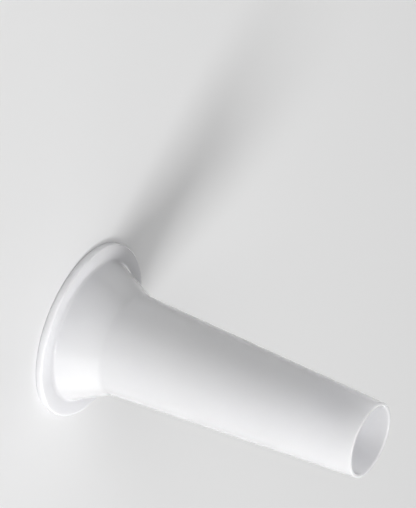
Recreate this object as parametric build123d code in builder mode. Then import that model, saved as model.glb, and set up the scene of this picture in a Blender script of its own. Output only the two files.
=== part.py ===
from build123d import *
import math
import os

# Stuffing tube for a meat grinder: one injection-moulded piece.  A flat round flange seats in
# the grinder's mouth, a short steep cone gathers the meat, and a long, gently tapered tube
# carries the casing and ends in a rounded lip.
#
# Units are millimetres.  The axis of the piece is +Z, the back face of the flange is z = 0,
# and the outlet is at the top.  Radii are measured from the axis.

# Driving dimensions
overall_length = 110.6
flange_radius = 61.0 / 2
flange_thickness = 2.7
cone_base_radius = 49.2 / 2
cone_height = 14.2
tube_root_radius = 35.4 / 2
tip_radius = 26.0 / 2
cone_wall = 1.8
lip_wall = 1.25

# Edge roundings and blends
rim_front_round = 0.6
rim_back_round = 0.4
inlet_round = 1.0
flange_to_cone_fillet = 1.5
cone_to_tube_blend = 5.0

# Half angles of the cone and of the tube, and the outward normals of their outer surfaces
tube_length = overall_length - flange_thickness - cone_height
cone_angle = math.atan((cone_base_radius - tube_root_radius) / cone_height)
tube_angle = math.atan((tube_root_radius - tip_radius) / tube_length)
cone_normal = Vector(math.cos(cone_angle), math.sin(cone_angle))
tube_normal = Vector(math.cos(tube_angle), math.sin(tube_angle))

# Outer corners, as (radius, height)
cone_base = Vector(cone_base_radius, flange_thickness)
tube_root = Vector(tube_root_radius, flange_thickness + cone_height)

# The inner surface starts one cone wall inside the outer one.
miter = cone_wall / (1 + cone_normal.dot(tube_normal))
throat = tube_root - (cone_normal + tube_normal) * miter
inlet_radius = throat.X + throat.Y * math.tan(cone_angle)

# The lip is a full round.  Its outer side is tangent to the tube, and its inner side to a
# bore that runs straight up from the throat, so the wall thins evenly towards the outlet.
lip_round = lip_wall / 2
lip_centre = Vector(
    tip_radius + lip_round * math.tan(tube_angle) - lip_round / math.cos(tube_angle),
    overall_length - lip_round,
)
to_lip = lip_centre - throat
bore_angle = math.atan2(-to_lip.X, to_lip.Y) + math.asin(lip_round / to_lip.length)
bore_normal = Vector(math.cos(bore_angle), math.sin(bore_angle))
lip_outer = lip_centre + tube_normal * lip_round
lip_top = lip_centre + Vector(0, lip_round)
lip_inner = lip_centre - bore_normal * lip_round

# Every rounded corner of the section, with its radius
roundings = (
    (Vector(inlet_radius, 0), inlet_round),
    (Vector(flange_radius, 0), rim_back_round),
    (Vector(flange_radius, flange_thickness), rim_front_round),
    (cone_base, flange_to_cone_fillet),
    (tube_root, cone_to_tube_blend),
    (throat, cone_to_tube_blend + cone_wall),
)

os.makedirs("parts", exist_ok=True)

with BuildPart() as stuffing_tube:
    with BuildSketch(Plane.XZ) as section:
        with BuildLine():
            Polyline(
                lip_inner,
                throat,
                (inlet_radius, 0),
                (flange_radius, 0),
                (flange_radius, flange_thickness),
                cone_base,
                tube_root,
                lip_outer,
            )
            ThreePointArc(lip_outer, lip_top, lip_inner)
        make_face()

        for corner, radius in roundings:
            fillet(section.vertices().sort_by_distance(corner)[0], radius)
    revolve(axis=Axis.Z)

stuffing_tube.part.label = "stuffing_tube"
export_step(stuffing_tube.part, "parts/stuffing_tube.step")
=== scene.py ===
"""Looks of a moulded stuffing tube for a meat grinder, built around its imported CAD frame.

The object is one injection-moulded piece, a solid of revolution about +Z that stands on its flange.
The tube class works out the piece's wall section from a few sizes, turns it into a clean ring
of quads and dresses it in moulded polypropylene.  The studio classes add the floor, the
softboxes and the camera.  Lengths are in metres unless a name ends in _mm.
"""

import logging
import math
from dataclasses import dataclass, field
from enum import Enum

import bpy
from mathutils import Matrix, Vector


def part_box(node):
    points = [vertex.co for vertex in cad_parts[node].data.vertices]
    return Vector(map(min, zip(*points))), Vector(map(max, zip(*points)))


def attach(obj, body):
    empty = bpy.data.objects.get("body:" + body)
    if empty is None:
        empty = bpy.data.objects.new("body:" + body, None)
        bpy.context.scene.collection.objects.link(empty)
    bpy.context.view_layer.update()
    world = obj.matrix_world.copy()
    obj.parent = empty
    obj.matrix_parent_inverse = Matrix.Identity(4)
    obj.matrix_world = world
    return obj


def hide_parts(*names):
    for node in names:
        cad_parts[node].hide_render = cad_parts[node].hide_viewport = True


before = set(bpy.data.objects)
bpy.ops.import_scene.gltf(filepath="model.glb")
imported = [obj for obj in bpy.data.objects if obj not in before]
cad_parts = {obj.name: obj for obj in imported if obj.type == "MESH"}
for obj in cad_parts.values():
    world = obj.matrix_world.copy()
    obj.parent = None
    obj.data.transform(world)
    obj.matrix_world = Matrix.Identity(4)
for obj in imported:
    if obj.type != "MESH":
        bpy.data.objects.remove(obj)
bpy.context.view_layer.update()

MM = 0.001
SHORTEST_EDGE = 0.001 * MM
SENSOR_WIDTH_MM = 36.0

logging.basicConfig(level=logging.INFO, format="%(name)s: %(message)s")
log = logging.getLogger("stuffing_tube_scene")


# ------------------------------------------------------------------------------------------
# Small helpers for colours, nodes and directions
# ------------------------------------------------------------------------------------------


def linear_rgba(hex_colour: str) -> tuple[float, float, float, float]:
    """Turns an sRGB hex colour into linear values for a shader socket.

    Args:
        hex_colour: The colour as six hex digits, such as "F2F2F0".

    Returns:
        Red, green and blue as linear values, and an alpha of 1.
    """
    channels = [int(hex_colour[i : i + 2], 16) / 255 for i in (0, 2, 4)]
    linear = [c / 12.92 if c <= 0.04045 else ((c + 0.055) / 1.055) ** 2.4 for c in channels]
    return (*linear, 1.0)


def add_node(
    tree: bpy.types.NodeTree,
    kind: str,
    settings: dict[str, object] | None = None,
    inputs: dict[str, object] | None = None,
    **properties: object,
) -> bpy.types.Node:
    """Adds one node with its properties, socket values and incoming links.

    Args:
        tree: The node tree that the node goes into.
        kind: The node's Blender type name.
        settings: Socket name to value.
        inputs: Socket name to the output socket that feeds it.
        **properties: The node's own properties, such as operation or blend_type.

    Returns:
        The new node.
    """
    node = tree.nodes.new(kind)
    for name, value in properties.items():
        setattr(node, name, value)
    for name, value in (settings or {}).items():
        node.inputs[name].default_value = value
    for name, source in (inputs or {}).items():
        tree.links.new(source, node.inputs[name])
    return node


def direction(azimuth: float, elevation: float) -> Vector:
    """Gives the unit vector towards a place in the studio.

    Args:
        azimuth: Degrees round the object; 0 is in front of it, at -Y, and 90 is at +X.
        elevation: Degrees above the floor.

    Returns:
        The unit vector from the object towards that place.
    """
    a, e = math.radians(azimuth), math.radians(elevation)
    return Vector((math.sin(a) * math.cos(e), -math.cos(a) * math.cos(e), math.sin(e)))


# ------------------------------------------------------------------------------------------
# The wall section
# ------------------------------------------------------------------------------------------


@dataclass(frozen=True)
class SectionPoint:
    """One point of the wall section, with the outward normal of the surface there."""

    radius: float
    height: float
    normal: Vector


@dataclass
class WallSection:
    """The closed outline of a wall, as straight runs joined by rounded corners.

    Attributes:
        corners: Sharp corners as (radius, height), listed so that the material is on the left.
        rounds: The rounding radius of each corner, in the same order.
        arc_step: The largest turn between neighbouring points of a rounding, in degrees.
        run_step: The largest distance between neighbouring points of a straight run.
    """

    corners: list[Vector]
    rounds: list[float]
    arc_step: float = 7.5
    run_step: float = 3.0 * MM

    def points(self) -> list[SectionPoint]:
        """Works out the outline's points, corner by corner.

        Returns:
            The points in order round the closed outline.
        """
        count = len(self.corners)
        arcs = [self._corner_arc(index) for index in range(count)]
        outline: list[SectionPoint] = []
        for index, arc in enumerate(arcs):
            following = arcs[(index + 1) % count][0]
            outline.extend(arc if self._apart(arc[-1], following) else arc[:-1])
            outline.extend(self._run(arc[-1], following))
        return outline

    @staticmethod
    def _apart(one: SectionPoint, other: SectionPoint) -> bool:
        """Says whether two points are far enough apart to make an edge."""
        return math.hypot(other.radius - one.radius, other.height - one.height) > SHORTEST_EDGE

    def _corner_arc(self, index: int) -> list[SectionPoint]:
        """Rounds one corner.

        Args:
            index: The corner's place in the list.

        Returns:
            The points along the rounding, from its first tangent point to its last.
        """
        corner = self.corners[index]
        before = (corner - self.corners[index - 1]).normalized()
        after = (self.corners[(index + 1) % len(self.corners)] - corner).normalized()
        turn = math.atan2(before.cross(after), before.dot(after))
        radius = self.rounds[index]
        tangent = radius * math.tan(abs(turn) / 2)
        side = math.copysign(1.0, turn)
        left = Vector((-before.y, before.x))
        centre = corner - before * tangent + left * side * radius
        steps = max(2, math.ceil(math.degrees(abs(turn)) / self.arc_step))
        arc = []
        for step in range(steps + 1):
            angle = turn * step / steps
            heading = Vector(
                (
                    before.x * math.cos(angle) - before.y * math.sin(angle),
                    before.x * math.sin(angle) + before.y * math.cos(angle),
                )
            )
            outward = Vector((heading.y, -heading.x))
            place = centre + outward * side * radius
            arc.append(SectionPoint(place.x, place.y, outward))
        return arc

    def _run(self, start: SectionPoint, end: SectionPoint) -> list[SectionPoint]:
        """Divides the straight run between two roundings.

        Args:
            start: The last point of the rounding before the run.
            end: The first point of the rounding after it.

        Returns:
            The points strictly between the two.
        """
        length = math.hypot(end.radius - start.radius, end.height - start.height)
        steps = max(1, math.ceil(length / self.run_step))
        inner = []
        for step in range(1, steps):
            share = step / steps
            inner.append(
                SectionPoint(
                    start.radius + (end.radius - start.radius) * share,
                    start.height + (end.height - start.height) * share,
                    start.normal,
                )
            )
        return inner


# ------------------------------------------------------------------------------------------
# Finishes
# ------------------------------------------------------------------------------------------


@dataclass(frozen=True)
class MouldedPolypropylene:
    """White injection-moulded polypropylene from a polished mould.

    A little titanium dioxide makes the plastic an even, nearly neutral white and leaves it
    translucent: light that falls on the thin wall glows through it, so the bore stays bright
    and the edges of shadows are gentle.  The polished cavity leaves a clear, slightly soft
    gloss.

    Attributes:
        name: The material's name.
        colour: The pigment's sRGB hex colour.
        flow_colour: The slightly darker tone along the melt's flow.
        flow_span: Values of the flow's noise between which the tone changes.
        ior: Index of refraction of polypropylene.
        roughness_span: Least and greatest roughness of the polished surface.
        translucency: Share of light that enters and leaves again nearby.
        scatter_mm: How far such light travels.
        flow_scale_mm: Length of the soft variation in tone.
        peel_scale_mm: Width of the gentle ripple that cooling leaves in the skin.
        peel_height_mm: Height of that ripple.
    """

    name: str = "injection_moulded_white_polypropylene"
    colour: str = "F3F3F9"
    flow_colour: str = "F0F0F6"
    flow_span: tuple[float, float] = (0.35, 0.75)
    ior: float = 1.49
    roughness_span: tuple[float, float] = (0.08, 0.12)
    translucency: float = 1.0
    scatter_mm: float = 5.0
    flow_scale_mm: float = 28.0
    peel_scale_mm: float = 2.2
    peel_height_mm: float = 0.004

    def material(self) -> bpy.types.Material:
        """Builds the material's nodes.

        Returns:
            The finished material.
        """
        made = bpy.data.materials.new(self.name)
        made.use_nodes = True
        tree = made.node_tree
        tree.nodes.clear()
        place = add_node(tree, "ShaderNodeTexCoord").outputs["Object"]
        flow = add_node(
            tree,
            "ShaderNodeTexNoise",
            settings={"Scale": 1 / (self.flow_scale_mm * MM), "Detail": 2.0, "Roughness": 0.45},
            inputs={"Vector": place},
        )
        tone = add_node(tree, "ShaderNodeValToRGB", inputs={"Fac": flow.outputs["Fac"]})
        colours = (self.colour, self.flow_colour)
        for stop, position, colour in zip(tone.color_ramp.elements, self.flow_span, colours):
            stop.position = position
            stop.color = linear_rgba(colour)
        peel = add_node(
            tree,
            "ShaderNodeTexNoise",
            settings={"Scale": 1 / (self.peel_scale_mm * MM), "Detail": 1.0, "Roughness": 0.4},
            inputs={"Vector": place},
        )
        ripple = add_node(
            tree,
            "ShaderNodeBump",
            settings={"Strength": 1.0, "Distance": self.peel_height_mm * MM},
            inputs={"Height": peel.outputs["Fac"]},
        )
        smoothest, roughest = self.roughness_span
        haze = add_node(
            tree,
            "ShaderNodeMapRange",
            settings={"To Min": smoothest, "To Max": roughest},
            inputs={"Value": flow.outputs["Fac"]},
        )
        shader = add_node(
            tree,
            "ShaderNodeBsdfPrincipled",
            settings={
                "IOR": self.ior,
                "Subsurface Weight": self.translucency,
                "Subsurface Scale": self.scatter_mm * MM,
                "Subsurface Radius": (1.0, 1.0, 1.0),
            },
            inputs={
                "Base Color": tone.outputs["Color"],
                "Roughness": haze.outputs["Result"],
                "Normal": ripple.outputs["Normal"],
            },
        )
        add_node(tree, "ShaderNodeOutputMaterial", inputs={"Surface": shader.outputs["BSDF"]})
        return made


@dataclass(frozen=True)
class StudioPaper:
    """Smooth pale paper over a dim light table: matt, with no grain in sight.

    Attributes:
        name: The material's name.
        colour: The paper's sRGB hex colour.
        roughness: Roughness of the matt surface.
        glow: Light that comes up from the table, where 1 shows as the paper's full colour.
    """

    name: str = "pale_studio_paper"
    colour: str = "E0E0E0"
    roughness: float = 0.9
    glow: float = 0.12

    def material(self) -> bpy.types.Material:
        """Builds the paper's plain matt material.

        Returns:
            The finished material.
        """
        made = bpy.data.materials.new(self.name)
        made.use_nodes = True
        shader = made.node_tree.nodes["Principled BSDF"]
        settings = {
            "Base Color": linear_rgba(self.colour),
            "Roughness": self.roughness,
            "Specular IOR Level": 0.0,
            "Emission Color": linear_rgba(self.colour),
            "Emission Strength": self.glow,
        }
        for name, value in settings.items():
            shader.inputs[name].default_value = value
        return made


# ------------------------------------------------------------------------------------------
# The stuffing tube
# ------------------------------------------------------------------------------------------


@dataclass
class StuffingTube:
    """The one-piece tube: a round flange, a short steep cone and a long tapered tube.

    Attributes:
        node: The CAD node that the piece stands for.
        slot: The record's material slot; not used.
        overall_length: From the back of the flange to the lip.
        flange_radius: Outer radius of the flange.
        flange_thickness: Thickness of the flange.
        cone_base_radius: Radius of the cone where it leaves the flange's front face.
        cone_height: Height of the cone above that face.
        tube_root_radius: Radius of the tube where it leaves the cone.
        tip_radius: Radius of the tube's taper at the outlet.
        cone_wall: Wall thickness of the cone.
        lip_wall: Wall thickness at the outlet.
        rim_front_round: Rounding of the flange's front edge.
        rim_back_round: Rounding of its back edge.
        inlet_round: Rounding of the inlet's edge.
        flange_to_cone_fillet: Fillet between the flange and the cone.
        cone_to_tube_blend: Blend between the cone and the tube.
        segments: Quads round the axis.
        finish: The plastic.
    """

    node: str = "stuffing_tube"
    slot: str = "white_plastic"
    overall_length: float = 110.6 * MM
    flange_radius: float = 30.5 * MM
    flange_thickness: float = 2.7 * MM
    cone_base_radius: float = 24.6 * MM
    cone_height: float = 14.2 * MM
    tube_root_radius: float = 17.7 * MM
    tip_radius: float = 13.0 * MM
    cone_wall: float = 1.8 * MM
    lip_wall: float = 1.25 * MM
    rim_front_round: float = 0.6 * MM
    rim_back_round: float = 0.4 * MM
    inlet_round: float = 1.0 * MM
    flange_to_cone_fillet: float = 1.5 * MM
    cone_to_tube_blend: float = 5.0 * MM
    segments: int = 320
    finish: MouldedPolypropylene = field(default_factory=MouldedPolypropylene)

    def section(self) -> WallSection:
        """Works out the wall section from the sizes.

        Returns:
            The closed outline of the wall.
        """
        tube_length = self.overall_length - self.flange_thickness - self.cone_height
        cone_fall = (self.cone_base_radius - self.tube_root_radius) / self.cone_height
        tube_fall = (self.tube_root_radius - self.tip_radius) / tube_length
        cone_normal = Vector((1.0, cone_fall)).normalized()
        tube_normal = Vector((1.0, tube_fall)).normalized()
        cone_base = Vector((self.cone_base_radius, self.flange_thickness))
        tube_root = Vector((self.tube_root_radius, self.flange_thickness + self.cone_height))
        tip = Vector((self.tip_radius, self.overall_length))
        miter = self.cone_wall / (1 + cone_normal.dot(tube_normal))
        throat = tube_root - (cone_normal + tube_normal) * miter
        inlet = Vector((throat.x + throat.y * cone_fall, 0.0))
        tip_inner = Vector((self.tip_radius - self.lip_wall / tube_normal.x, self.overall_length))
        lip = self._full_round(tip.x - tip_inner.x, tube_fall, throat, tip_inner)
        rim_back = Vector((self.flange_radius, 0.0))
        rim_front = Vector((self.flange_radius, self.flange_thickness))
        outline = {
            "inlet": (inlet, self.inlet_round),
            "rim_back": (rim_back, self.rim_back_round),
            "rim_front": (rim_front, self.rim_front_round),
            "cone_base": (cone_base, self.flange_to_cone_fillet),
            "tube_root": (tube_root, self.cone_to_tube_blend),
            "tip_outer": (tip, lip),
            "tip_inner": (tip_inner, lip),
            "throat": (throat, self.cone_to_tube_blend + self.cone_wall),
        }
        return WallSection(
            corners=[corner for corner, _ in outline.values()],
            rounds=[radius for _, radius in outline.values()],
        )

    @staticmethod
    def _full_round(width: float, outer_fall: float, throat: Vector, tip_inner: Vector) -> float:
        """Finds the rounding at which the lip's two corners meet in one full round.

        Args:
            width: Width of the wall's end before it is rounded.
            outer_fall: Taper of the tube's outside, as radius over height.
            throat: Where the bore starts.
            tip_inner: Where the bore meets the unrounded end.

        Returns:
            The rounding radius of both corners.
        """
        outer_turn = math.pi / 2 - math.atan(outer_fall)
        bore = throat - tip_inner
        inner_turn = math.pi / 2 + math.atan2(bore.x, -bore.y)
        return width / (math.tan(outer_turn / 2) + math.tan(inner_turn / 2))

    def mesh(self) -> bpy.types.Mesh:
        """Turns the section round the axis into a closed ring of quads.

        Returns:
            The mesh, smooth shaded with the exact normals of the turned section.
        """
        outline = self.section().points()
        rings = len(outline)
        vertices, normals = [], []
        for segment in range(self.segments):
            angle = 2 * math.pi * segment / self.segments
            cos, sin = math.cos(angle), math.sin(angle)
            for point in outline:
                vertices.append((point.radius * cos, point.radius * sin, point.height))
                normals.append((point.normal.x * cos, point.normal.x * sin, point.normal.y))
        quads = []
        for segment in range(self.segments):
            this = segment * rings
            following = (segment + 1) % self.segments * rings
            for ring in range(rings):
                ahead = (ring + 1) % rings
                quads.append((this + ring, following + ring, following + ahead, this + ahead))
        made = bpy.data.meshes.new(f"{self.node}_mesh")
        made.from_pydata(vertices, [], quads)
        made.validate()
        made.shade_smooth()
        made.normals_split_custom_set_from_vertices(normals)
        return made

    def build(self) -> bpy.types.Object:
        """Makes the piece, dresses it, parents it to its body and hides the CAD node it stands for.

        Returns:
            The finished object.
        """
        piece = bpy.data.objects.new("stuffing_tube_shell", self.mesh())
        bpy.context.scene.collection.objects.link(piece)
        piece.data.materials.append(self.finish.material())
        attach(piece, "root")
        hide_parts(self.node)
        return piece


# ------------------------------------------------------------------------------------------
# The studio
# ------------------------------------------------------------------------------------------


class LightRole(Enum):
    """What a softbox is for."""

    KEY = "key"
    TOP = "top"
    SIDE_PANEL = "side_panel"
    FRONT_FILL = "front_fill"
    BACK_FILL = "back_fill"
    LOW_BACK_STRIP = "low_back_strip"
    EDGE_STRIP = "edge_strip"


@dataclass(frozen=True)
class Softbox:
    """A square or rectangular softbox that faces the object.

    Attributes:
        role: What the light is for.
        azimuth: Degrees round the object.
        elevation: Degrees above the floor.
        width: Width of the softbox.
        height: Height of the softbox.
        brightness: Radiance of its face, where 1 shows as pure white.
        distance: From the object's middle.
    """

    role: LightRole
    azimuth: float
    elevation: float
    width: float
    height: float
    brightness: float
    distance: float = 3.0

    def build(self, target: Vector) -> bpy.types.Object:
        """Adds the light.

        Args:
            target: The point that the softbox faces.

        Returns:
            The light object.
        """
        lamp = bpy.data.lights.new(f"softbox_{self.role.value}", "AREA")
        lamp.shape = "RECTANGLE"
        lamp.size = self.width
        lamp.size_y = self.height
        lamp.energy = self.brightness * math.pi * self.width * self.height
        light = bpy.data.objects.new(lamp.name, lamp)
        bpy.context.scene.collection.objects.link(light)
        towards = direction(self.azimuth, self.elevation)
        light.location = target + towards * self.distance
        light.rotation_mode = "QUATERNION"
        light.rotation_quaternion = towards.to_track_quat("Z", "Y")
        light.visible_camera = False
        return light


@dataclass
class Studio:
    """The floor, the dark room around it and the softboxes.

    Attributes:
        floor_half_width: Half the width of the square floor.
        floor_drop: How far the floor lies under the object.
        paper: What the floor is covered with.
        softboxes: All the lights.
    """

    floor_half_width: float = 12.0
    floor_drop: float = 0.02 * MM
    paper: StudioPaper = field(default_factory=StudioPaper)
    softboxes: tuple[Softbox, ...] = (
        Softbox(
            LightRole.KEY,
            azimuth=105.0,
            elevation=45.0,
            width=1.1,
            height=1.1,
            brightness=13.8,
        ),
        Softbox(
            LightRole.TOP,
            azimuth=120.0,
            elevation=72.0,
            width=1.1,
            height=1.1,
            brightness=2.5,
        ),
        Softbox(
            LightRole.SIDE_PANEL,
            azimuth=139.5,
            elevation=12.3,
            width=4.8,
            height=1.62,
            brightness=1.65,
        ),
        Softbox(
            LightRole.FRONT_FILL,
            azimuth=40.0,
            elevation=50.0,
            width=2.1,
            height=2.1,
            brightness=2.5,
        ),
        Softbox(
            LightRole.BACK_FILL,
            azimuth=-105.0,
            elevation=41.0,
            width=1.1,
            height=1.1,
            brightness=1.2,
        ),
        Softbox(
            LightRole.LOW_BACK_STRIP,
            azimuth=-145.0,
            elevation=8.0,
            width=3.6,
            height=1.2,
            brightness=1.3,
        ),
        Softbox(
            LightRole.EDGE_STRIP,
            azimuth=-75.0,
            elevation=8.0,
            width=2.4,
            height=1.2,
            brightness=0.8,
        ),
    )

    def build(self, target: Vector) -> None:
        """Builds the whole studio.

        Args:
            target: The point that the softboxes face.
        """
        self._floor()
        self._room()
        for softbox in self.softboxes:
            log.info("light %s", softbox.build(target).name)

    def _floor(self) -> None:
        """Rolls out the paper floor just under the object."""
        half = self.floor_half_width
        corners = [(-half, -half), (half, -half), (half, half), (-half, half)]
        mesh = bpy.data.meshes.new("floor_mesh")
        mesh.from_pydata([(x, y, -self.floor_drop) for x, y in corners], [], [(0, 1, 2, 3)])
        mesh.materials.append(self.paper.material())
        floor = bpy.data.objects.new("studio_floor", mesh)
        bpy.context.scene.collection.objects.link(floor)
        log.info("stage %s", floor.name)

    @staticmethod
    def _room() -> None:
        """Leaves the room dark, so that all light comes from the softboxes and the floor."""
        world = bpy.data.worlds.new("dark_room")
        world.use_nodes = True
        background = world.node_tree.nodes["Background"]
        background.inputs["Strength"].default_value = 0.0
        bpy.context.scene.world = world


@dataclass(frozen=True)
class StudioCamera:
    """A long lens that looks down the tube from the outlet's side, rolled on its axis.

    Attributes:
        azimuth: Degrees round the object.
        elevation: Degrees above the plane of the flange.
        axis_slope: Degrees by which the tube's axis falls to the right in the picture.
        distance: From the flange's front face, along the line of sight.
        lens_mm: Focal length on the camera's sensor.
        middle_right: How far the picture's middle lies to the right of the flange's middle.
        middle_up: How far it lies above it.
        flange_height: Height of the flange's front face.
    """

    azimuth: float = 45.0
    elevation: float = 24.86
    axis_slope: float = 20.87
    distance: float = 1.5
    lens_mm: float = 317.7
    middle_right: float = 38.58 * MM
    middle_up: float = 25.70 * MM
    flange_height: float = 2.7 * MM

    def build(self) -> bpy.types.Object:
        """Adds the camera and makes it the scene's camera.

        Returns:
            The camera object.
        """
        back = direction(self.azimuth, self.elevation)
        level = Vector((0.0, 0.0, 1.0)).cross(back).normalized()
        climb = back.cross(level)
        slope = math.radians(self.axis_slope)
        right = climb * math.cos(slope) - level * math.sin(slope)
        up = -climb * math.sin(slope) - level * math.cos(slope)
        middle = Vector((0.0, 0.0, self.flange_height))
        middle += right * self.middle_right + up * self.middle_up
        lens = bpy.data.cameras.new("studio_camera")
        lens.lens = self.lens_mm
        lens.sensor_width = SENSOR_WIDTH_MM
        lens.clip_start = 0.1
        lens.clip_end = 50.0
        camera = bpy.data.objects.new("studio_camera", lens)
        bpy.context.scene.collection.objects.link(camera)
        turned = Matrix((right, up, back)).transposed().to_4x4()
        camera.matrix_world = Matrix.Translation(middle + back * self.distance) @ turned
        bpy.context.scene.camera = camera
        return camera


def main() -> None:
    """Builds the piece, the studio and the camera, in that order."""
    tube = StuffingTube()
    piece = tube.build()
    log.info("piece %s with %d quads", piece.name, len(piece.data.polygons))
    low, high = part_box(tube.node)
    Studio().build((low + high) / 2)
    camera = StudioCamera().build()
    log.info("camera %s", camera.name)
    bpy.context.scene.view_settings.view_transform = "Standard"


if __name__ == "__main__":
    main()
